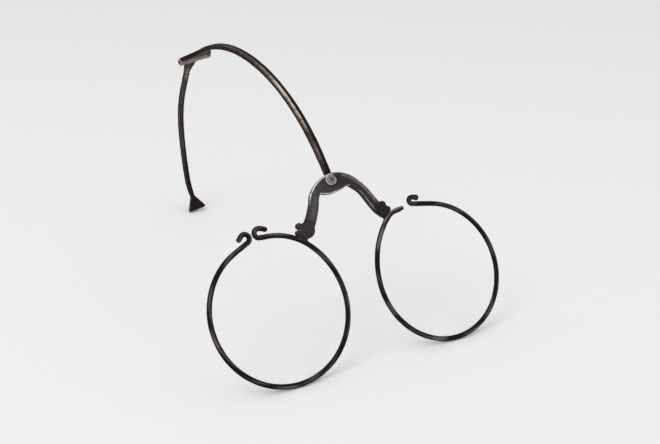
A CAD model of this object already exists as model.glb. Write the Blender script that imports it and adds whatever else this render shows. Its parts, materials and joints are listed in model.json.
# %% [markdown]
# # Over-the-head spectacles in forged iron
# The real object is an old pair of spectacles with two open wire rims, a forged saddle
# bridge, and a flat bar that is riveted to the bridge and lies over the head. The bar has a
# hinge in it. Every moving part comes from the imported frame, so the surfaces made here sit
# where the joints of that frame say, and only the shapes and finishes are worked out below.

# %% Load the frame
import json
import math
import bpy
import numpy as np
from mathutils import Matrix, Vector


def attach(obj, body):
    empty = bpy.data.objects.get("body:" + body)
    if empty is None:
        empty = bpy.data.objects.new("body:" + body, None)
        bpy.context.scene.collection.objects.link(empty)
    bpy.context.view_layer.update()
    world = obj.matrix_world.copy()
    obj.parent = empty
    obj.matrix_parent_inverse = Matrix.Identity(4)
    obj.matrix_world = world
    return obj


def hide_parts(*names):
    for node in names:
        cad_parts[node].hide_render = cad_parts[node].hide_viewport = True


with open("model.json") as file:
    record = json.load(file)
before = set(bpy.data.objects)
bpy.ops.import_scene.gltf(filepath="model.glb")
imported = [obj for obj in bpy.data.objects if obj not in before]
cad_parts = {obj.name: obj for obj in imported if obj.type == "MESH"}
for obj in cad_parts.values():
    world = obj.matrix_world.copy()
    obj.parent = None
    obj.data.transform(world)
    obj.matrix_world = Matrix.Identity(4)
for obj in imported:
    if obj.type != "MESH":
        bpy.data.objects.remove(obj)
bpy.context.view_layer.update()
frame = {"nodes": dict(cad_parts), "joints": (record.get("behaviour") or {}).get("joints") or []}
nodes = frame["nodes"]
joints = {joint["name"]: joint for joint in frame["joints"]}
print("nodes:", sorted(nodes), "joints:", sorted(joints))

# %% [markdown]
# ## Camera
# The photograph looks down at the front left of the object. The camera stands where its two
# round rims and its three ground contacts put it: about 0.36 m away, with a lens of 53 mm.
# It looks along a set direction rather than at a target, so that the frame stays as it was.

# %% Camera
FOCAL_PIXELS, PICTURE_WIDTH = 966, 660
AZIMUTH, ELEVATION = math.radians(29.1), math.radians(23.5)
camera_place = Vector((-0.13804, -0.28677, 0.15764))
forward = Vector((math.sin(AZIMUTH) * math.cos(ELEVATION), math.cos(AZIMUTH) * math.cos(ELEVATION),
                  -math.sin(ELEVATION)))
camera_data = bpy.data.cameras.new("photo_camera")
camera_data.sensor_width = 36.0
camera_data.lens = FOCAL_PIXELS / PICTURE_WIDTH * camera_data.sensor_width
camera_data.clip_start = 0.01
camera = bpy.data.objects.new("photo_camera", camera_data)
bpy.context.scene.collection.objects.link(camera)
camera_turn = forward.to_track_quat("-Z", "Y").to_matrix().to_4x4()
camera.matrix_world = Matrix.Translation(camera_place) @ camera_turn
bpy.context.scene.camera = camera
bpy.context.scene.view_settings.view_transform = "Standard"
print("camera at", tuple(round(v, 3) for v in camera_place), "lens", round(camera_data.lens, 1), "mm")

# %% [markdown]
# ## Shader sums
# A finish is mostly sums on masks: where rust lies, where the metal is rubbed bright. A small
# class wraps one output socket, so that a sum on sockets is written as a sum in Python, and
# one method makes every other node. That keeps a finish as short as its idea.


# %% A socket that can be added, subtracted and multiplied
class Signal:
    """One output of a finish. Plus, minus and times on it add Math nodes."""

    def __init__(self, finish, socket):
        self.finish = finish
        self.socket = socket

    def math(self, operation, first, second=0.0, clamp=False):
        """A Math node with the operation on two numbers or signals."""
        return self.finish.node("ShaderNodeMath", {"operation": operation, "use_clamp": clamp},
                                {0: first, 1: second})

    def __add__(self, other):
        return self.math("ADD", self, other)

    def __sub__(self, other):
        return self.math("SUBTRACT", self, other)

    def __rsub__(self, other):
        return self.math("SUBTRACT", other, self)

    def __mul__(self, other):
        return self.math("MULTIPLY", self, other)

    __radd__ = __add__
    __rmul__ = __mul__

    def clamped(self):
        """The same signal kept between 0 and 1."""
        return self.math("ADD", self, 0.0, clamp=True)

    def band(self, low, high):
        """A smooth step: 0 below low, 1 above high."""
        return self.finish.node("ShaderNodeMapRange", {"interpolation_type": "SMOOTHSTEP"},
                                {"Value": self, "From Min": low, "From Max": high})


# %% A finish made node by node
class Finish:
    """A material under construction, with one Principled shader at its end."""

    def __init__(self, name):
        self.material = bpy.data.materials.new(name)
        self.material.use_nodes = True
        self.tree = self.material.node_tree
        self.tree.nodes.clear()
        self.place = self.node("ShaderNodeTexCoord", {}, {}, "Object")

    def node(self, kind, settings, sockets, output=0):
        """Makes one node: its type, its settings, and the values or links of its sockets."""
        made = self.tree.nodes.new(kind)
        for name, value in settings.items():
            setattr(made, name, value)
        for name, value in sockets.items():
            if isinstance(value, Signal):
                self.tree.links.new(value.socket, made.inputs[name])
            else:
                made.inputs[name].default_value = value
        return None if output is None else Signal(self, made.outputs[output])

    def noise(self, scale, detail, roughness=0.6):
        """Smooth noise with the given number of cells to a metre."""
        return self.node("ShaderNodeTexNoise", {}, {"Vector": self.place, "Scale": scale,
                                                    "Detail": detail, "Roughness": roughness})

    def speckle(self, scale, size):
        """Round specks: 1 at the middle of a cell, 0 from size outward."""
        far = self.node("ShaderNodeTexVoronoi", {}, {"Vector": self.place, "Scale": scale}, "Distance")
        return 1 - far.band(size * 0.4, size)

    def attribute(self, name):
        """A number that the mesh carries at each of its points."""
        return self.node("ShaderNodeAttribute", {"attribute_name": name}, {}, "Fac")

    def mix(self, factor, low, high):
        """Goes from the low colour to the high one as the factor goes from 0 to 1."""
        return self.node("ShaderNodeMix", {"data_type": "RGBA"}, {0: factor, 6: low, 7: high}, 2)

    def bump(self, height, strength, distance):
        """The surface's normal as if it stood out by height times distance."""
        return self.node("ShaderNodeBump", {}, {"Height": height, "Strength": strength,
                                                "Distance": distance})

    def shade(self, sockets):
        """Ends the finish in a Principled shader with these sockets."""
        shader = self.node("ShaderNodeBsdfPrincipled", {}, sockets)
        self.node("ShaderNodeOutputMaterial", {}, {"Surface": shader}, None)
        return self.material


# %% [markdown]
# ## The iron finish
# Old wrought iron is not one grey. A brown-black skin of oxide covers it, reddish where it
# has rusted, and hands have rubbed the corners and the high faces back to light metal, with
# dark pits left in them. Each mesh below carries three numbers at each point. *edge* and
# *rubbed* say where this wear falls, and *dark* says where the skin is blackest. The finish
# breaks the wear up with noise, so that it looks worn and not painted. One function makes
# all the irons, from darker to lighter.


# %% Colours
def tone(red, green, blue):
    """A colour written as a screen shows it, 0 to 255, turned into light."""
    share = np.array([red, green, blue]) / 255
    light = np.where(share <= 0.04045, share / 12.92, ((share + 0.055) / 1.055) ** 2.4)
    return [*(float(v) for v in light), 1.0]


def scaled(colour, share):
    """The same colour, lighter or darker by a share."""
    return [channel * share for channel in colour[:3]] + [1.0]


# %% The iron finish
PIT_COLOUR = [0.012, 0.009, 0.008, 1]
BUMP_HEIGHT = 0.00012


def iron(name, skin, rust, bright, rust_share=0.5, wear=1.0, pits=1.0, shine=0.15):
    """Iron with an oxide skin, rusty patches, light worn metal and dark pits. Wear is the edge
    and rubbed numbers, each times a smooth step of noise, less where a pit is. The colour goes
    from skin to rust, to bright metal and to pit by these masks, and the same noises summed
    give the height."""
    f = Finish(name)
    # Noise with cells of about 5, 2 and 0.7 mm, and specks in some places only.
    cloud, patch, fine = f.noise(210, 4, 0.62), f.noise(430, 4, 0.65), f.noise(1500, 3, 0.7)
    pit = f.speckle(1150, 0.42) * f.noise(520, 2).band(0.47, 0.62) * pits
    rusty = (cloud.band(0.62 - 0.3 * rust_share, 0.85 - 0.25 * rust_share) * 0.75
             + patch.band(0.5, 0.75) * 0.25).clamped()
    worn_edge = f.attribute("edge") * 0.8 * (patch * 0.9 + fine * 0.6 - 0.15).band(0.3, 0.75)
    worn_face = f.attribute("rubbed") * (patch * 0.8 + fine * 0.7 - 0.1).band(0.36, 0.66)
    worn = ((worn_edge + worn_face) * wear).clamped() * (1 - pit * 0.85)
    colour = f.mix(fine.band(0.3, 0.75), scaled(skin, 0.62), scaled(skin, 1.35))
    colour = f.mix(f.attribute("dark"), colour, scaled(rust, 0.6))
    colour = f.mix(rusty, colour, rust)
    colour = f.mix(worn, colour, bright)
    colour = f.mix(pit * 0.8, colour, PIT_COLOUR)
    height = cloud * 0.5 + patch * 0.3 + fine * 0.16 - pit * 0.9
    return f.shade({"Base Color": colour, "Metallic": worn * 0.3 + 0.1, "Specular IOR Level": shine,
                    "Roughness": (0.5 + rusty * 0.16 + fine * 0.12 - worn * 0.1).clamped(),
                    "Normal": f.bump(height, 0.5, BUMP_HEIGHT)})


# %% The irons, each with its skin, its rust and its worn metal
rim_iron = iron("rim_iron", tone(28, 21, 23), tone(38, 26, 26), tone(146, 134, 132),
                wear=0.9, shine=0.05)
bridge_iron = iron("bridge_iron", tone(66, 62, 64), tone(50, 41, 41), tone(226, 222, 218),
                   rust_share=0.2, wear=1.1, pits=0.4, shine=0.1)
bar_iron = iron("bar_iron", tone(34, 25, 25), tone(52, 34, 29), tone(236, 222, 206),
                pits=1.6, shine=0.06)
hinge_iron = iron("hinge_iron", tone(100, 84, 83), tone(70, 54, 50), tone(176, 160, 156),
                  wear=0.8, pits=0.6)
rivet_iron = iron("rivet_iron", tone(84, 80, 80), tone(54, 46, 46), tone(206, 200, 198), wear=0.9)
pin_iron = iron("pin_iron", tone(16, 12, 12), tone(30, 22, 20), tone(100, 92, 88), wear=0.3)
brazing = iron("brazing", tone(84, 62, 48), tone(52, 38, 32), tone(170, 142, 110), wear=0.5)
finishes = (rim_iron, bridge_iron, bar_iron, hinge_iron, rivet_iron, pin_iron, brazing)
print("finishes:", ", ".join(finish.name for finish in finishes))

# %% [markdown]
# ## Places from the joints
# The rims lie in one plane, which leans back. The rivet's axis is square to that plane, so
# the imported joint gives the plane's lean. In the rims' plane a point has three numbers:
# across to the right, behind the plane, and up its slope. In the bar's plane they are behind
# the rims, up from the rivet, and to the right of the rivet. Both are in millimetres here,
# and FIRST, SECOND and THIRD are the directions of the three numbers.


# %% Two sets of axes
def unit(vector):
    """The same direction at length 1."""
    return np.asarray(vector) / np.linalg.norm(vector)


MM = 0.001
FIRST, SECOND, THIRD = np.eye(3)
RIVET_ACROSS, RIVET_UP, STRIP_BEHIND = -1.1, 57.7, 1.55
swing, fold = joints["bar_swing"], joints["rear_bar_fold"]
swing_place = np.array(swing["pos_m"])
across, behind, bar_right = FIRST, unit(swing["axis"]), unit(fold["axis"])
rims_axes = np.stack([across, behind, np.cross(across, behind)])
rims_origin = swing_place - MM * np.array([RIVET_ACROSS, STRIP_BEHIND, RIVET_UP]) @ rims_axes
bar_axes = np.stack([behind, np.cross(bar_right, behind), bar_right])
bar_origin = swing_place - MM * STRIP_BEHIND * behind
pin_at = ((np.array(fold["pos_m"]) - bar_origin) @ bar_axes.T / MM)[:2]


def in_rims(points):
    """Metres in the frame, from millimetres across, behind and up the rims' plane."""
    return rims_origin + MM * np.asarray(points) @ rims_axes


def in_bar(points):
    """Metres in the frame, from millimetres behind, up and to the right in the bar's plane."""
    return bar_origin + MM * np.asarray(points) @ bar_axes


print("rims lean back", round(math.degrees(math.acos(rims_axes[2, 2])), 2), "degrees")
print("pin at", pin_at.round(2), "mm")

# %% [markdown]
# ## Bends
# A smith makes such wire and strip by bending it: an arc, a straight run, another arc. A path
# is therefore a list of bends, each a radius and a turn in degrees, or 0 and a length. The
# points are spread evenly, so that one stretch of a surface looks like the next.


# %% Paths from bends
def bend_path(start, bends, step=0.25):
    """Points and headings along a run of bends: an arc turns about the point one radius to
    the side, and a straight run goes on along its heading. Left turns are above 0."""
    x, y, heading = start[0], start[1], math.radians(start[2])
    spots, headings = [np.array([[x, y]])], [np.array([heading])]
    for radius, turn in bends:
        length = turn if radius == 0 else radius * abs(math.radians(turn))
        share = np.linspace(0, 1, max(2, int(length / step)) + 1)[1:]
        if radius == 0:
            way = np.full(share.shape, heading)
            along = share[:, None] * turn * np.array([math.cos(heading), math.sin(heading)])
            run = np.array([x, y]) + along
        else:
            side = math.copysign(radius, turn)
            middle = np.array([x - side * math.sin(heading), y + side * math.cos(heading)])
            way = heading + share * math.radians(turn)
            run = middle + side * np.stack([np.sin(way), -np.cos(way)], axis=1)
            heading = way[-1]
        x, y = run[-1]
        spots.append(run)
        headings.append(way)
    return np.concatenate(spots), np.concatenate(headings)


def arc_length(spots):
    """Millimetres along a path to each of its points: the sum of the steps before it."""
    return np.concatenate([[0], np.cumsum(np.linalg.norm(np.diff(spots, axis=0), axis=1))])


# %% [markdown]
# ## Marks of the hammer and of the hand
# Nothing here is quite even. The hammer left the surface slightly wavy, and hands rubbed it
# in stretches that start and end softly. A sum of sines gives the one, and bell curves the
# other. The seeds are fixed, so each run gives the same marks.


# %% Ripples, bells and rounded tips
def ripple(length, around, size, waves, seed):
    """Forging marks: sines of random pitch and phase along and around a bar, summed."""
    draw = np.random.RandomState(seed)
    total = np.zeros(np.broadcast(length, around).shape)
    for _ in range(waves):
        pitch, turns, phase = draw.uniform(0.35, 1.6), draw.randint(0, 4), draw.uniform(0, 6.28)
        total = total + np.sin(pitch * length + turns * around + phase)
    return size * total / math.sqrt(waves)


def bell(value, middle, spread):
    """1 at the middle, falling off as e to the minus square of the distance in spreads."""
    return np.exp(-((value - middle) / spread) ** 2)


def round_ends(length, radius, at_start=True, at_end=True):
    """Share of the full radius along a bar whose tips are quarter circles: the root of 1 less
    the square of how far, in radii, a point is short of the full thickness."""
    share = np.ones(length.shape)
    for rounded, from_tip in ((at_start, length), (at_end, length[-1] - length)):
        if rounded:
            short = np.clip(1 - from_tip / radius, 0, None)
            share = np.minimum(share, np.sqrt(np.clip(1 - short ** 2, 0.002, 1)))
    return share


# %% [markdown]
# ## From a grid of points to a mesh
# Every surface here is a grid: rows along the piece, columns around it. Both ends of a bar
# are closed with a fan of triangles to a middle point. A tube has no ends: its last row lies
# on its first. The three wear numbers are stored at the points.


# %% Points and faces of a grid
def grid_points(grid, tube=False):
    """The grid's points in one list, followed by the middles of its first and last rows."""
    points = grid.reshape(-1, 3)
    middles = grid[[0, -1]].mean(axis=1)
    return points if tube else np.concatenate([points, middles])


def grid_faces(grid, tube=False, first=0):
    """Each square joins two neighbours of a row with the two behind them, and the columns
    close on themselves. The fans at the ends go to the two middles. first is the number of
    the grid's first point."""
    rows, columns = grid.shape[:2]
    index = first + np.arange(rows * columns).reshape(rows, columns)
    right = np.roll(index, -1, axis=1)
    squares = np.stack([index[:-1], right[:-1], right[1:], index[1:]], axis=-1)
    faces = squares.reshape(-1, 4).tolist()
    if not tube:
        middle = np.full(columns, first + rows * columns)
        faces += np.stack([right[0], index[0], middle], axis=1).tolist()
        faces += np.stack([index[-1], right[-1], middle + 1], axis=1).tolist()
    return faces


# %% A finished piece from a grid
def give(mesh, label, values):
    """Stores one number a point under a name that a finish reads."""
    carry = mesh.attributes.new(label, "FLOAT", "POINT")
    carry.data.foreach_set("value", np.ascontiguousarray(values, dtype=np.float32))


def finished(piece, finish, body):
    """Links a piece, turns its faces outward, smooths them and tells the frame what it is. They
    point outward when the volumes that they span with the middle sum to more than 0."""
    bpy.context.scene.collection.objects.link(piece)
    points = np.empty(len(piece.data.vertices) * 3)
    piece.data.vertices.foreach_get("co", points)
    points = points.reshape(-1, 3)
    piece.data.calc_loop_triangles()
    corners = np.empty(len(piece.data.loop_triangles) * 3, dtype=int)
    piece.data.loop_triangles.foreach_get("vertices", corners)
    a, b, c = points[corners.reshape(-1, 3)].transpose(1, 0, 2) - points.mean(axis=0)
    if np.einsum("ij,ij->", a, np.cross(b, c)) < 0:
        piece.data.flip_normals()
    piece.data.shade_smooth()
    piece.data.materials.append(finish)
    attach(piece, body)
    print(piece.name, len(points), "points,", len(corners) // 3, "triangles")
    return piece


def surface(name, grid, finish, body, edge=0.0, rubbed=0.0, dark=0.0, place=in_rims,
            tube=False):
    """Makes a piece from rows x columns of points in millimetres, with its wear numbers."""
    mesh = bpy.data.meshes.new(name)
    mesh.from_pydata(place(grid_points(grid, tube)).tolist(), [], grid_faces(grid, tube))
    for label, value in (("edge", edge), ("rubbed", rubbed), ("dark", dark)):
        values = np.zeros(len(mesh.vertices))
        values[:grid[..., 0].size] = np.broadcast_to(value, grid.shape[:2]).ravel()
        give(mesh, label, values)
    return finished(bpy.data.objects.new(name, mesh), finish, body)


# %% [markdown]
# ## The rims
# Each rim is one wire, bent round and curled back at its tips. The left rim's two hooks face
# each other a hair apart, to be drawn together round a lens. The right rim has one hook, and
# opposite it the wire runs out in a straight stub that was hammered flat. Drawn wire of that
# time is never quite even, so the radius swells and shrinks a little along its length. A
# curve with a round bevel would do for even wire. A grid of points is used because radius
# and wear change from point to point.

# %% Bends of the rims
WIRE_RADIUS = 0.8
RIM_RADIUS = 22.0
left_bottom, right_bottom = (-28.4, 0.0), (28.4, 0.0)
# Each pair is a radius and a turn in degrees, or 0 and a length in millimetres.
left_inner = [(RIM_RADIUS, 93), (24.53, 41), (19.03, 43.5), (0, 2.794), (1.4, -180), (4.76, -38)]
left_outer = [(RIM_RADIUS, -155), (0, 5.207), (1.4, 200), (0, 2.2)]
right_inner = [(RIM_RADIUS, -90), (27.39, -42), (19.8, -11), (4.5, -27), (0, 3.6)]
right_outer = [(RIM_RADIUS, 166), (31.9, 4), (0, 6.123), (1.1, -178), (7.48, -20)]


def whole_rim(bottom, leftward_bends, rightward_bends):
    """One path from the tip that leaves the bottom leftward to the tip that leaves rightward,
    with the length along it as a column."""
    left_spots, left_ways = bend_path((*bottom, 180), leftward_bends)
    right_spots, right_ways = bend_path((*bottom, 0), rightward_bends)
    spots = np.concatenate([left_spots[::-1], right_spots[1:]])
    ways = np.concatenate([left_ways[::-1] + math.pi, right_ways[1:]])
    return spots, ways, arc_length(spots)[:, None]


# %% The wire's surface and its wear
wire_around = np.linspace(0, 2 * math.pi, 28, endpoint=False)[None]


def wire_grid(spots, ways, radius, wide=1.0, high=1.0):
    """A tube along a path in the rims' plane. Its ring at each point is the radius times the
    cosine to the left of the way, and times the sine in front of the plane. wide and high
    scale the two, where the wire was hammered flat."""
    out = radius * np.cos(wire_around) * wide
    front = radius * np.sin(wire_around) * high
    leftward = np.stack([-np.sin(ways), np.cos(ways)], axis=1)
    plane = spots[:, None] + out[..., None] * leftward[:, None]
    return np.stack([plane[..., 0], -front, plane[..., 1]], axis=-1)


def wire_wear(length, line, cloud_seed, line_seed):
    """Faint clouds on the wire's front half, and one thin light line along it of the given
    strength, which a ripple breaks into stretches."""
    clouds = np.clip(ripple(length * 0.5, wire_around, 1.0, 7, cloud_seed), 0, 1)
    clouds = clouds * np.clip(np.sin(wire_around), 0, 1)
    breaks = np.clip(ripple(length * 0.3, 0, 1.0, 5, line_seed), 0, 1)
    return 0.3 * clouds + line * bell(wire_around, 1.9, 0.3) * breaks


# %% Left rim
spots, ways, length = whole_rim(left_bottom, left_outer, left_inner)
radius = (WIRE_RADIUS + ripple(length, wire_around, 0.012, 9, 3)) * round_ends(length, WIRE_RADIUS)
left_rim = surface("left_rim_wire", wire_grid(spots, ways, radius), rim_iron, "spectacle_frame",
                   rubbed=wire_wear(length, 0.5, 8, 4))
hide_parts("left_rim")
print("left rim's wire is", round(length[-1, 0], 1), "mm long")

# %% [markdown]
# The right rim's stub is flat and a little wide behind its tip, and its hook ends in a thin
# leaf. Width and height are therefore scaled with the length from each tip. The stub and the
# bend before it are rubbed light in front, and the stub's tip also at one side.

# %% Right rim
spots, ways, length = whole_rim(right_bottom, right_inner, right_outer)
to_hook_tip = length[-1] - length
stub = np.clip(1 - length / 2.8, 0, 1)
leaf = np.clip(1 - to_hook_tip / 2.6, 0, 1) * np.clip(to_hook_tip / 0.3, 0.3, 1)
wide = 1 + 0.1 * np.sin(math.pi * np.minimum(stub * 1.6, 1)) - 0.2 * stub ** 2 + 0.3 * leaf
high = 1 - 0.4 * np.clip(stub * 1.8, 0, 1) - 0.3 * leaf
radius = WIRE_RADIUS + ripple(length, wire_around, 0.012, 9, 5)
radius = radius * round_ends(length, WIRE_RADIUS, at_start=False)
stub_front = 1.2 * np.clip((10.5 - length) / 2.5, 0, 1) * bell(wire_around, 2.3, 0.35)
stub_side = 0.35 * np.clip((3.5 - length) / 1.5, 0, 1) * np.clip(-np.cos(wire_around), 0, 1)
rubbed = np.maximum(np.maximum(wire_wear(length, 0.6, 11, 6), stub_front), stub_side)
right_rim = surface("right_rim_wire", wire_grid(spots, ways, radius, wide, high), rim_iron,
                    "spectacle_frame", rubbed=rubbed)
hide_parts("right_rim")
print("right rim's wire is", round(length[-1, 0], 1), "mm long")

# %% [markdown]
# ## The bridge
# The bridge was forged from one flat piece: a crown with a belly under the rivet, two legs
# with bevelled edges, and a foot at the end of each leg that spreads in scrolls over the
# wire. Such a form has no sharp seams inside it, so its band, discs and lobes are made as
# separate closed shells, and a voxel remesh fuses them into one skin. Afterwards the angle of
# each point's normal tells where the bevels are, and that is where the metal is worn light.

# %% Sizes of the bridge
HALF_PLATE = 0.7
FRONT_BEVEL, BACK_BEVEL = 0.45, 0.15
LEG_WIDTH, ANKLE_WIDTH = 3.4, 4.0
ARMPIT_SHARE = 0.17
BLOCK_HALF, BLOCK_SINK = 1.6, 0.15
FOOT_PULL, SHOULDER_PULL = 2.8, 3.6
rivet = np.array([RIVET_ACROSS, RIVET_UP])
left_shoulder, right_shoulder, crown_top = rivet + [-8.6, -4], rivet + [10, -2.2], rivet + [1.4, 2.2]
left_armpit = left_shoulder + LEG_WIDTH * np.array([0.97, -0.3])
right_armpit = right_shoulder - LEG_WIDTH * np.array([0.66, 0.76])
left_corner, right_corner, belly = rivet + [-4.4, -3.7], rivet + [5.4, -2.7], rivet + [-0.5, -4.3]
print("crown is", round(right_shoulder[0] - left_shoulder[0], 1), "mm wide")


# %% Edges of the crown
def bezier(a, b, c, d, share):
    """A cubic curve: it leaves a towards b and reaches d from c as share goes from 0 to 1."""
    s = np.asarray(share)[:, None]
    return (1 - s) ** 3 * a + 3 * s * (1 - s) ** 2 * b + 3 * s * s * (1 - s) * c + s ** 3 * d


def crown_edges(count=70):
    """The crown's outer edge is two cubic curves over its top. Its inner edge is straight at
    each armpit, with one quadratic bow between them under the rivet."""
    share = np.linspace(0, 1, count)
    rise = bezier(left_shoulder, left_shoulder + [1.7, 3.1], crown_top - [4.2, 0], crown_top,
                  2 * share)
    drop = bezier(crown_top, crown_top + [3.8, 0], right_shoulder + [-1.8, 2.5], right_shoulder,
                  2 * share - 1)
    outer = np.where(share[:, None] < 0.5, rise, drop)
    bow = ((share - ARMPIT_SHARE) / (1 - 2 * ARMPIT_SHARE))[:, None]
    control = 2 * belly - (left_corner + right_corner) / 2
    inner = (1 - bow) ** 2 * left_corner + 2 * bow * (1 - bow) * control + bow ** 2 * right_corner
    from_left, from_right = (share / ARMPIT_SHARE)[:, None], ((1 - share) / ARMPIT_SHARE)[:, None]
    left_line = left_armpit + (left_corner - left_armpit) * from_left
    right_line = right_armpit + (right_corner - right_armpit) * from_right
    inner = np.where(from_left < 1, left_line, np.where(from_right < 1, right_line, inner))
    return outer, inner


# %% Where the feet stand
SOLE = WIRE_RADIUS + 0.2


def foot_frame(bottom, heading, bends, side):
    """The place on the wire where a foot stands, with its ways along the wire and away from it."""
    spots, ways = bend_path((*bottom, heading), bends)
    along = np.array([math.cos(ways[-1]), math.sin(ways[-1])])
    return spots[-1], along, side * np.array([-along[1], along[0]])


def on_foot(foot, along, out):
    """A point beside a foot's place: so far along the wire and so far away from it."""
    return foot[0] + along * foot[1] + out * foot[2]


# The feet stand 10 and 7 degrees into the third bend of the wire.
left_foot = foot_frame(left_bottom, 0, [*left_inner[:2], (left_inner[2][0], 10)], -1)
right_foot = foot_frame(right_bottom, 180, [*right_inner[:2], (right_inner[2][0], -7)], 1)
left_disc, right_disc = on_foot(left_foot, -0.4, SOLE + 2.8), on_foot(right_foot, 1.2, SOLE + 1.6)
print("feet at", left_foot[0].round(2), "and", right_foot[0].round(2), "mm")


# %% Edges of the legs and of the whole band
def leg_edges(foot, disc, lean, outer, inner, side, count=36):
    """Both edges of a leg: a cubic curve from the foot's disc to the middle of the shoulder,
    with half the leg's width to each side, a little more at the foot. lean turns the leg's
    way out of the foot back along the wire."""
    way = unit(on_foot(foot, -lean, 1) - foot[0])
    middle = (outer + inner) / 2
    down = np.array([outer[1] - inner[1], inner[0] - outer[0]]) / np.linalg.norm(outer - inner)
    down = down if down[1] < 0 else -down
    share = np.linspace(0, 1, count)
    spots = bezier(disc, disc + FOOT_PULL * way, middle + SHOULDER_PULL * down, middle, share)
    run = np.gradient(spots, axis=0)
    run /= np.linalg.norm(run, axis=1)[:, None]
    half = (LEG_WIDTH + (ANKLE_WIDTH - LEG_WIDTH) * (1 - share) ** 1.5)[:, None] / 2
    beside = side * np.stack([-run[:, 1], run[:, 0]], axis=1) * half
    return spots + beside, spots - beside


left_leg = leg_edges(left_foot, left_disc, 0.17, left_shoulder, left_armpit, 1)
right_leg = leg_edges(right_foot, right_disc, 0.6, right_shoulder, right_armpit, -1)
crown = crown_edges()
outer_edge, inner_edge = (np.concatenate([left[:-1], top, right[::-1][1:]])
                          for left, top, right in zip(left_leg, crown, right_leg))
print("bridge band of", len(outer_edge), "sections")


# %% Shells of the bridge
def band_grid(outer, inner):
    """Across each section: the front face with a wide bevel at both edges, and the back face
    with a narrow one. The first number behind the plate's middle is below 0 at the front."""
    way = (inner - outer) / np.linalg.norm(inner - outer, axis=1)[:, None]
    corners = [(outer, 0, FRONT_BEVEL - HALF_PLATE), (outer, FRONT_BEVEL, -HALF_PLATE),
               (inner, -FRONT_BEVEL, -HALF_PLATE), (inner, 0, FRONT_BEVEL - HALF_PLATE),
               (inner, 0, HALF_PLATE - BACK_BEVEL), (inner, -BACK_BEVEL, HALF_PLATE),
               (outer, BACK_BEVEL, HALF_PLATE), (outer, 0, HALF_PLATE - BACK_BEVEL)]
    rings = [np.insert(edge + shift * way, 1, depth, axis=1) for edge, shift, depth in corners]
    return np.stack(rings, axis=1)


def turned(profile, centre, axis, side, count=40):
    """A solid of revolution: the profile gives places along the axis and radii about it."""
    around = np.linspace(0, 2 * math.pi, count, endpoint=False)
    ring = np.cos(around)[:, None] * side + np.sin(around)[:, None] * np.cross(axis, side)
    profile = np.asarray(profile, float)
    return centre + profile[:, None, :1] * np.asarray(axis, float) + profile[:, None, 1:] * ring


def boss(place, radius):
    """A round boss of the plate's thickness, its front edge rounded off by a quarter circle."""
    soft = min(0.5, radius * 0.5)
    rounding = [(soft - HALF_PLATE - soft * math.sin(a), radius - soft + soft * math.cos(a))
                for a in np.linspace(0, math.pi / 2, 6)]
    profile = [(HALF_PLATE, 0.02), (HALF_PLATE, radius), *rounding, (-HALF_PLATE, 0.02)]
    return turned(profile, np.array([place[0], 0, place[1]]), SECOND, FIRST)


def foot_block(foot, at, high):
    """A short block from a little under the sole up into the foot's disc, with its middle so
    far along the wire."""
    left, right = at - BLOCK_HALF, at + BLOCK_HALF
    front, back = FRONT_BEVEL - HALF_PLATE, HALF_PLATE - BACK_BEVEL
    square = [(left, front), (right, front), (right, back), (left, back)]
    return np.array([[np.insert(on_foot(foot, along, out), 1, depth) for along, depth in square]
                     for out in (SOLE - BLOCK_SINK, high)])


# Each lobe: its foot, how far along the wire, how far out from the sole, and its radius.
lobes = [(left_foot, 2.45, 2.85, 1.05), (left_foot, 2.0, 0.75, 0.85),
         (right_foot, 2.75, 0.5, 0.88), (right_foot, 2.65, 2.9, 1.25)]
bridge_shells = [band_grid(outer_edge, inner_edge), boss(left_disc, 2.6), boss(right_disc, 2.2),
                 *[boss(on_foot(foot, along, SOLE + out), radius) for foot, along, out, radius in lobes],
                 foot_block(left_foot, 0, SOLE + 2.4), foot_block(right_foot, 0.77, SOLE + 1.1)]
print("bridge shells:", len(bridge_shells))

# %% [markdown]
# A voxel remesh cuts all the shells into small cubes and keeps the skin around them, so the
# joins between band, discs and lobes disappear. The cubes are 0.11 mm, a quarter of the front
# bevel, and three rounds of smoothing round off their steps and leave that bevel.


# %% Fuse the shells
def fused(name, grids, voxel, smoothing):
    """One skin around overlapping closed shells, smoothed the given number of times."""
    points, faces = np.zeros((0, 3)), []
    for grid in grids:
        faces += grid_faces(grid, first=len(points))
        points = np.concatenate([points, grid_points(grid)])
    rough = bpy.data.meshes.new(name + "_shells")
    rough.from_pydata(in_rims(points).tolist(), [], faces)
    holder = bpy.data.objects.new(name + "_shells", rough)
    bpy.context.scene.collection.objects.link(holder)
    remesh = holder.modifiers.new("skin", "REMESH")
    remesh.mode, remesh.voxel_size = "VOXEL", voxel
    smooth = holder.modifiers.new("soften", "SMOOTH")
    smooth.factor, smooth.iterations = 0.5, smoothing
    mesh = bpy.data.meshes.new_from_object(holder.evaluated_get(bpy.context.evaluated_depsgraph_get()))
    mesh.name = name
    bpy.data.objects.remove(holder)
    return bpy.data.objects.new(name, mesh)


def points_of(mesh):
    """Places and normals of a mesh's points, as two arrays."""
    places, normals = np.empty(len(mesh.vertices) * 3), np.empty(len(mesh.vertices) * 3)
    mesh.vertices.foreach_get("co", places)
    mesh.vertices.foreach_get("normal", normals)
    return places.reshape(-1, 3), normals.reshape(-1, 3)


bridge = fused("bridge_forging", bridge_shells, 0.11 * MM, 3)
places, normals = points_of(bridge.data)
print("bridge skin of", len(places), "points")

# %% [markdown]
# ## Where the bridge is worn
# The left arch of the crown and the belly's lower edge are rubbed to bright lines, and the
# rest of the bevels only faintly. The left leg's outer side and the right leg's inner side
# lie in their own shade and stay black. The feet are dark too, with a light crest on each
# scroll. Each of these is a mask: a soft step or a bell curve of a distance.

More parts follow.
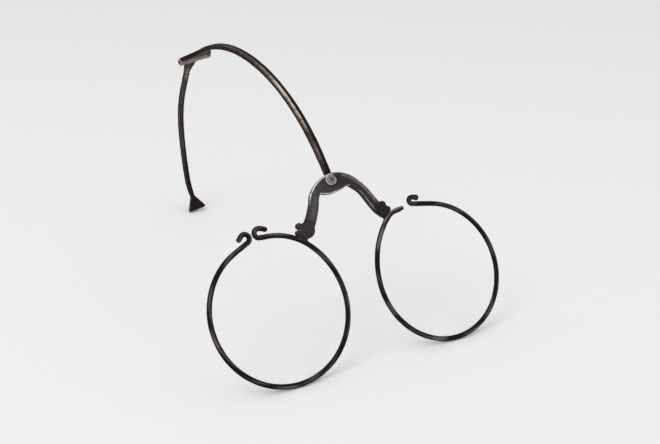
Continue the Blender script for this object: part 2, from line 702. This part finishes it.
# %% Distances over the bridge
local = (places - rims_origin) @ rims_axes.T / MM
facing = normals @ rims_axes.T
flat_places = local[:, [0, 2]]
from_rivet = flat_places - rivet
rightward, upward = from_rivet.T
from_middle = np.linalg.norm(from_rivet, axis=1)
from_outer, from_inner = (np.linalg.norm(flat_places[:, None] - line[::2], axis=2).min(axis=1)
                          for line in (outer_edge, inner_edge))
to_disc = np.linalg.norm(flat_places[:, None] - [left_disc, right_disc], axis=2).min(axis=1)
at_foot = np.clip((4.3 - to_disc) / 1.6, 0, 1)
print("points at the feet:", int((at_foot > 0.5).sum()))

# %% Edges worn light
front = -facing[:, 1]
bevel = np.clip(1 - np.abs(front - 0.74) / 0.2, 0, 1)
outer_half = from_outer < from_inner
left_arch = (rightward < 0.5) & outer_half
belly_edge = (np.abs(rightward) < 6) & (facing[:, 2] < -0.2)
shaded = ((rightward > 6) & ~outer_half) | ((rightward < -6) & outer_half & (upward < -7))
arch_high = np.clip((upward + 6.5) / 3, 0.05, 1)
right_half = np.clip((rightward - 1) / 2, 0, 1)
worn = np.where(left_arch, 2.2 * arch_high, np.where(belly_edge, 1.3, 0.35 + 0.2 * right_half))
worn = np.where(shaded, 0.05, worn)
crest = at_foot * np.clip(0.8 * facing[:, 2] - 0.6 * facing[:, 0], 0, 1) * (from_outer > 0.5)
edge = bevel * (worn * (1 - at_foot) + 1.5 * crest)
give(bridge.data, "edge", edge)
print("points on worn edges:", int((edge > 0.5).sum()))

# %% Faces rubbed and sides left dark
face = (front > 0.85) * (1 - at_foot)
outer_line = bell(from_outer, 1.0, 0.3) * (rightward > 4)
inner_line = bell(from_inner, 0.6, 0.12) * np.clip((rightward - 8.2) / 1.5, 0, 1)
leg_middle = bell(from_outer - from_inner, 0, 1.6) * (rightward < -6)
give(bridge.data, "rubbed", face * (0.2 * outer_line + 0.45 * inner_line + 0.05 * leg_middle))
side_wall = np.clip((0.5 - front) / 0.2, 0, 1)
below_right = np.clip(0.4 + (rightward - upward) / from_middle, 0, 1)
washer_shade = np.clip((2.7 - from_middle) / 0.5, 0, 1) * below_right
dark = 0.5 * at_foot + side_wall + shaded * (front < 0.9) + 0.55 * right_half + washer_shade
give(bridge.data, "dark", np.clip(dark, 0, 1))
finished(bridge, bridge_iron, "spectacle_frame")
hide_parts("bridge")

# %% [markdown]
# ## The rivet
# A washer lies on the front of the bridge, and the shank's end was hammered over it until it
# spread. Hammering leaves a bright worn ring round a flatter, pitted middle. At the back, the
# rivet's own head holds the eye of the bar. All of these are turned shapes about one axis,
# as a lathe would cut them: a profile of places and radii, carried round in one array.

# %% Rivet and washer
STRIP_THICK, GAP = 1.5, 0.1
SHANK_RADIUS = 0.9
WASHER_THICK, WASHER_RADIUS = 0.45, 1.8
washer_face = -HALF_PLATE - WASHER_THICK
back_face = HALF_PLATE + 2 * GAP + STRIP_THICK
rivet_centre = np.array([RIVET_ACROSS, 0, RIVET_UP])


def soft_corner(at, radius, corner, turn_from, turn_to, steps=5):
    """Points of a quarter circle of the given corner radius in a turned profile."""
    angles = np.radians(np.linspace(turn_from, turn_to, steps))
    return [(at + corner * math.sin(a), radius + corner * math.cos(a)) for a in angles]


def about_rivet(profile):
    """The profile turned about the rivet's axis, from the front of the plane to the back."""
    return turned(profile, rivet_centre, SECOND, FIRST, 48)


back_head = [(back_face + 0.7, 0.02), (back_face + 0.66, 0.8),
             *soft_corner(back_face + 0.2, 1.2, 0.45, 80, 10), (back_face, 1.7)]
front_head = [(washer_face, 1.22), *soft_corner(washer_face - 0.15, 1.05, 0.2, -10, -90),
              (washer_face - 0.32, 0.6), (washer_face - 0.27, 0.02)]
rivet_profile = [*back_head, (back_face, SHANK_RADIUS), (washer_face, SHANK_RADIUS), *front_head]
rivet_ring = bell(np.array(rivet_profile)[:, 1:], 1.15, 0.25)
rivet_piece = surface("pivot_rivet_hammered", about_rivet(rivet_profile), rivet_iron,
                      "spectacle_frame", edge=0.5 * rivet_ring, rubbed=0.15 * rivet_ring)
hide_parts("pivot_rivet")

washer_profile = [(-HALF_PLATE, SHANK_RADIUS), (-HALF_PLATE, WASHER_RADIUS),
                  *soft_corner(washer_face + 0.15, WASHER_RADIUS - 0.15, 0.15, 0, -90),
                  (washer_face, SHANK_RADIUS), (-HALF_PLATE, SHANK_RADIUS)]
washer_ring = np.clip((np.array(washer_profile)[:, 1:] - 1.4) / 0.4, 0, 1)
washer = surface("rove_washer", about_rivet(washer_profile), rivet_iron, "spectacle_frame",
                 edge=washer_ring, rubbed=0.5 * washer_ring, tube=True)
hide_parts("rivet_rove")

# %% [markdown]
# ## The head bar
# The bar is flat strip with its corners rubbed round. In front it starts in an eye on the
# rivet, arches over, and widens like a fan to the hinge. Behind the hinge it starts wide,
# narrows at once to a strip and ends in a small triangular foot, on which the object stands.
# Both are one section, a rectangle with round corners, carried along bends while its width
# changes with the length. A bevelled curve would swell in both directions at once, and the
# real strip widens only one way, so each section is worked out from its own two sizes.


# %% A strip with round corners
def strip_ring(face_points=8, corner_steps=5):
    """The section's points, each as four numbers: the signs of its corner in thickness and
    width, and its place on that corner's quarter circle. The wide faces have points between
    their corners."""
    quarter = np.linspace(0, math.pi / 2, corner_steps)
    rest = np.linspace(1, -1, face_points + 2)[1:-1]
    ring = []
    for turns, deep, wide in ((0, 1, 1), (1, -1, 1), (2, -1, -1), (3, 1, -1)):
        angles = quarter + turns * math.pi / 2
        ring += [(deep, wide, math.cos(a), math.sin(a)) for a in angles]
        if deep != wide:
            ring += [(deep, wide * w, deep, 0) for w in rest]
    return np.array(ring)


def strip_grid(spots, ways, half_width, middle, seed, half_thick=STRIP_THICK / 2, marks=0.02,
               corner=0.28):
    """Carries the section along a path in the bar's plane: a point is its corner's sign times
    the half size less the corner's radius, plus that radius round the corner. The wide faces
    look out of and into the bend, and the width runs to the right of the bar. Gives the grid,
    and for each point how much it is a corner, how much it faces out of the bend, how far
    along it is, and where it lies across, from -1 to 1."""
    deep, wide, round_deep, round_wide = strip_ring().T
    length = arc_length(spots)[:, None]
    half, thick, centre = (np.broadcast_to(value, (len(spots),))[:, None]
                           for value in (half_width, half_thick, middle))
    round_by = np.minimum(corner, 0.95 * np.minimum(half, thick))
    bump = ripple(length, np.arctan2(round_wide, round_deep)[None], marks, 10, seed)
    depth = deep * (thick - round_by) + (round_by + bump) * round_deep
    width = wide * (half - round_by) + (round_by + bump) * round_wide
    leftward = np.stack([-np.sin(ways), np.cos(ways)], axis=1)
    plane = spots[:, None] + depth[..., None] * leftward[:, None]
    edge = np.abs(2 * round_deep * round_wide) * np.ones(length.shape)
    outside = np.clip(round_deep, 0, 1) * np.ones(length.shape)
    return np.dstack([plane, centre + width]), edge, outside, length, width / half


def worn_stretches(along, stretches):
    """Wear along a bar: the sum of a bell curve for each place, spread and strength."""
    return sum(strength * bell(along, at, spread) for at, spread, strength in stretches)


# %% [markdown]
# The front strip is rubbed to a cream line along its left half, brightest a third of the way
# along, where a hand would take hold of it. The fan begins after the last bend: its half width
# grows with the power 1.5 of the way along it, so it opens slowly and then fast.

# %% Front strip and its leaf
STRIP_HALF, HINGE_HALF = 1.15, 6.3
STRIP_SET, HINGE_SET = 1.0, 1.5
FAN, NOTCH = 11.0, 1.8
front_bends = [(0, 8.2), (53.5, -15.5), (55.5, -25), (61, -40.5)]
bar_start = (STRIP_BEHIND, 0, 90)
spots, ways = bend_path(bar_start, [*front_bends, (0, FAN - NOTCH)])
length = arc_length(spots)
fan_starts = arc_length(bend_path(bar_start, front_bends)[0])[-1]
fan_share = np.clip((length - fan_starts) / (FAN - NOTCH), 0, 1)
swell = np.clip(length / 14, 0, 1)
half_width = STRIP_HALF - 0.05 * (1 - swell) + (HINGE_HALF - STRIP_HALF) * fan_share ** 1.5
middle = STRIP_SET + (HINGE_SET - STRIP_SET) * fan_share ** 1.5
half_thick = STRIP_THICK / 2 + 0.12 * swell * (1 - fan_share)
grid, edge, outside, along, side = strip_grid(spots, ways, half_width, middle, 21, half_thick)
streak = worn_stretches(along, [(34, 6, 1.6), (24, 6, 1.0), (45, 5, 0.4), (60, 10, 0.15), (10, 3, 0.3)])
front_strip = surface("front_strip", grid, bar_iron, "front_head_bar",
                      edge=0.12 * edge + 0.35 * edge * streak * (side < 0),
                      rubbed=outside * bell(side, -0.4, 0.22) * streak, place=in_bar)
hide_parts("front_bar")
print("front strip is", round(length[-1], 1), "mm along")

# %% [markdown]
# ## The hinge
# The fan ends in a notch, with a tongue at each side of it. Each tongue is rolled into a
# knuckle round the pin, and the rear strip's knuckle fills the notch. The tongues are short
# strips, and the knuckles are turned tubes, whose bore leaves the pin in view.

# %% Tongues beside the notch
HINGE = (-4.8, 7.8)
MIDDLE = (-3.2, 2.8)
PIN_DROP = 0.6
OUTER_INSET, NOTCH_INSET = 0.35, 0.12
leaf_way = ways[-1]
leaf_run = np.array([math.cos(leaf_way), math.sin(leaf_way)])


def tongue(name, low, high, seed):
    """A short flat piece from inside the fan to the hinge's axis."""
    share = np.linspace(-0.3, 1, 12)
    above = PIN_DROP * np.array([-leaf_run[1], leaf_run[0]])
    path = pin_at + above - leaf_run * NOTCH * (1 - share)[:, None]
    grid, edge, outside, _, _ = strip_grid(path, np.full(share.shape, leaf_way), (high - low) / 2,
                                           (high + low) / 2, seed, marks=0.008)
    return surface(name, grid, bar_iron, "front_head_bar", edge=0.4 * edge,
                   rubbed=0.1 * outside, place=in_bar)


tongue("left_tongue", HINGE[0] + OUTER_INSET, MIDDLE[0] - NOTCH_INSET, 31)
tongue("right_tongue", MIDDLE[1] + NOTCH_INSET, HINGE[1] - OUTER_INSET, 32)

# %% Knuckles
KNUCKLE_RADIUS = 1.35
LAP_AT, LAP_TURN = 6.9, 205


def knuckle(name, low, high, body, bore, seed, soft=0.16):
    """A rolled tube about the hinge's axis, open for the pin, its outer corners rounded by
    soft. Forging marks swell its outer face. The metal's end laps over near the right end,
    and the lap stays dark."""
    edge_radius = KNUCKLE_RADIUS - soft
    shares = np.linspace(0.08, 0.92, 9)
    barrel = [(low + soft + (high - low - 2 * soft) * share, KNUCKLE_RADIUS) for share in shares]
    left_end = [(low, bore), (low, edge_radius), *soft_corner(low + soft, edge_radius, soft, -90, 0)]
    right_end = [*soft_corner(high - soft, edge_radius, soft, 0, 90), (high, edge_radius), (high, bore)]
    profile = np.array([*left_end, *barrel, *right_end, left_end[0]])
    place, radius = profile[:, :1], profile[:, 1:]
    centre = np.array([*pin_at, 0.0])
    grid = turned(profile, centre, THIRD, FIRST)
    turn = np.linspace(0, 2 * math.pi, grid.shape[1], endpoint=False)[None]
    swell = ripple(place * 1.5, turn, 0.02, 6, seed) * (radius > KNUCKLE_RADIUS * 0.9)
    grid = grid + (grid - centre) * [1, 1, 0] * swell[..., None]
    ends = np.exp(-np.minimum(place - low, high - place) / 0.3)
    lap = bell(place, LAP_AT, 0.75) * bell(np.degrees(turn), LAP_TURN, 26)
    return surface(name, grid, hinge_iron, body, edge=0.3 * ends, rubbed=0.65 * (1 - lap),
                   dark=1.6 * lap, place=in_bar, tube=True)


knuckle("left_knuckle", HINGE[0], MIDDLE[0] - GAP, "front_head_bar", 0.5, 41)
knuckle("right_knuckle", MIDDLE[1] + GAP, HINGE[1], "front_head_bar", 0.5, 42, soft=0.4)
knuckle("middle_knuckle", *MIDDLE, "rear_head_bar", 0.55, 43)

# %% [markdown]
# The front strip's lower end was flattened round and punched to an eye. It lies between the
# bridge's back and the rivet's back head, so only its edge can be seen. It is a turned tube
# about the rivet's axis, which is the first direction of the bar's plane.

# %% Eye on the rivet
EYE_RADIUS, EYE_BORE, EYE_SOFT = 2.1, 0.95, 0.2
eye_low, eye_high = STRIP_BEHIND - STRIP_THICK / 2, STRIP_BEHIND + STRIP_THICK / 2
eye_profile = [(eye_low, EYE_BORE), (eye_low, EYE_RADIUS - EYE_SOFT),
               *soft_corner(eye_low + EYE_SOFT, EYE_RADIUS - EYE_SOFT, EYE_SOFT, -90, 0),
               *soft_corner(eye_high - EYE_SOFT, EYE_RADIUS - EYE_SOFT, EYE_SOFT, 0, 90),
               (eye_high, EYE_BORE), (eye_low, EYE_BORE)]
surface("bar_eye", turned(eye_profile, np.zeros(3), FIRST, SECOND, 48), bar_iron, "front_head_bar",
        edge=0.3, rubbed=0.1, place=in_bar, tube=True)

# %% [markdown]
# ## The rear strip
# It leaves the hinge wide and narrows at once, comes down in three bends, and spreads into a
# triangle with rounded corners. Its front face is the one the viewer sees, inside the bend.

# %% Rear strip and foot
REAR_HALF, FLARE_HALF, FOOT_HALF, FOOT_CORNER = 1.02, 2.95, 3.65, 0.7
FLARE, FOOT = 6.2, 5.8
REAR_MIDDLE, REAR_SET = -0.8, 0.6
REAR_TURN = -28.8
rear_start = (*pin_at, math.degrees(leaf_way) + REAR_TURN)
rear_bends = [(0, FLARE), (0, 11.8), (57, -23.5), (124, -10), (15, -32), (0, FOOT)]
spots, ways = bend_path(rear_start, rear_bends, 0.2)
length = arc_length(spots)
fan = 1 - np.clip(length / FLARE, 0, 1) ** 0.85
toe = length - (length[-1] - FOOT)
corner_at = FOOT - FOOT_CORNER
spread = REAR_HALF + (FOOT_HALF - REAR_HALF) * np.clip(toe / corner_at, 0, 1)
arc = np.sqrt(np.clip(FOOT_CORNER ** 2 - (toe - corner_at) ** 2, 0, None))
rounded = FOOT_HALF - FOOT_CORNER + arc
neck = 0.14 * bell(toe, -0.6, 2.0)
flare = REAR_HALF + (FLARE_HALF - REAR_HALF) * fan
half_width = np.where(toe > corner_at, rounded, np.maximum(flare, spread) - neck)
middle = REAR_MIDDLE + REAR_SET * fan
grid, edge, outside, along, side = strip_grid(spots, ways, half_width, middle, 23)
rub = worn_stretches(along, [(7, 3.5, 0.4), (22, 9, 0.08), (45, 10, 0.08)])
inside = np.clip(1 - outside * 4, 0, 1) * bell(side, -0.2, 0.4)
rear_strip = surface("rear_strip", grid, bar_iron, "rear_head_bar",
                     edge=0.15 * edge + 0.3 * edge * rub, rubbed=inside * rub, place=in_bar)
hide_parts("rear_bar")
print("rear strip is", round(length[-1], 1), "mm along")

# %% [markdown]
# ## Pieces kept from the frame
# The hinge pin and the thin brazed seams under the feet have the right shape already. They
# keep their solids and only get a finish.

# %% Dress the kept pieces
for node_name, finish in (("hinge_pin", pin_iron), ("left_braze", brazing), ("right_braze", brazing)):
    kept = nodes[node_name]
    kept.data.materials.clear()
    kept.data.materials.append(finish)
    print(node_name, "is dressed in", finish.name)

# %% [markdown]
# ## Floor and light
# The photograph was taken on a pale sweep of paper under large soft lamps. A wide floor and
# a pale world do the same here. One soft lamp at the upper left draws the light lines on the
# wires, a second one at the right fills in, and the shadows stay faint.

# %% Floor
FLOOR_HALF, FLOOR_UNDER = 6.0, 0.00002
paper = Finish("paper")
paper_tone = paper.mix(paper.noise(0.6, 1).band(0.3, 0.7), tone(243, 243, 243), tone(245, 245, 245))
paper.shade({"Base Color": paper_tone, "Roughness": 0.9, "Specular IOR Level": 0.1})
floor_mesh = bpy.data.meshes.new("paper_floor")
floor_corners = [(x * FLOOR_HALF, y * FLOOR_HALF, -FLOOR_UNDER)
                 for x, y in ((-1, -1), (1, -1), (1, 1), (-1, 1))]
floor_mesh.from_pydata(floor_corners, [], [(0, 1, 2, 3)])
floor_mesh.materials.append(paper.material)
floor = bpy.data.objects.new("paper_floor", floor_mesh)
bpy.context.scene.collection.objects.link(floor)
print("floor is", 2 * FLOOR_HALF, "m wide")

# %% Light
world = bpy.data.worlds.new("studio")
world.use_nodes = True
sky = world.node_tree.nodes["Background"]
sky.inputs["Color"].default_value = (1.0, 1.0, 1.0, 1)
sky.inputs["Strength"].default_value = 0.76
bpy.context.scene.world = world


def lamp(name, place, target, size, power):
    """A square soft lamp at a place in metres, turned to a target."""
    data = bpy.data.lights.new(name, "AREA")
    data.size, data.energy = size, power
    made = bpy.data.objects.new(name, data)
    bpy.context.scene.collection.objects.link(made)
    way = (Vector(target) - Vector(place)).to_track_quat("-Z", "Y")
    made.matrix_world = Matrix.Translation(place) @ way.to_matrix().to_4x4()


lamp("key", (-0.75, -0.2, 0.95), (0, 0, 0.02), 0.7, 3.2)
lamp("fill", (0.8, -0.9, 0.7), (0, 0, 0.02), 0.7, 1.6)
print("lamps:", sorted(light.name for light in bpy.data.lights))
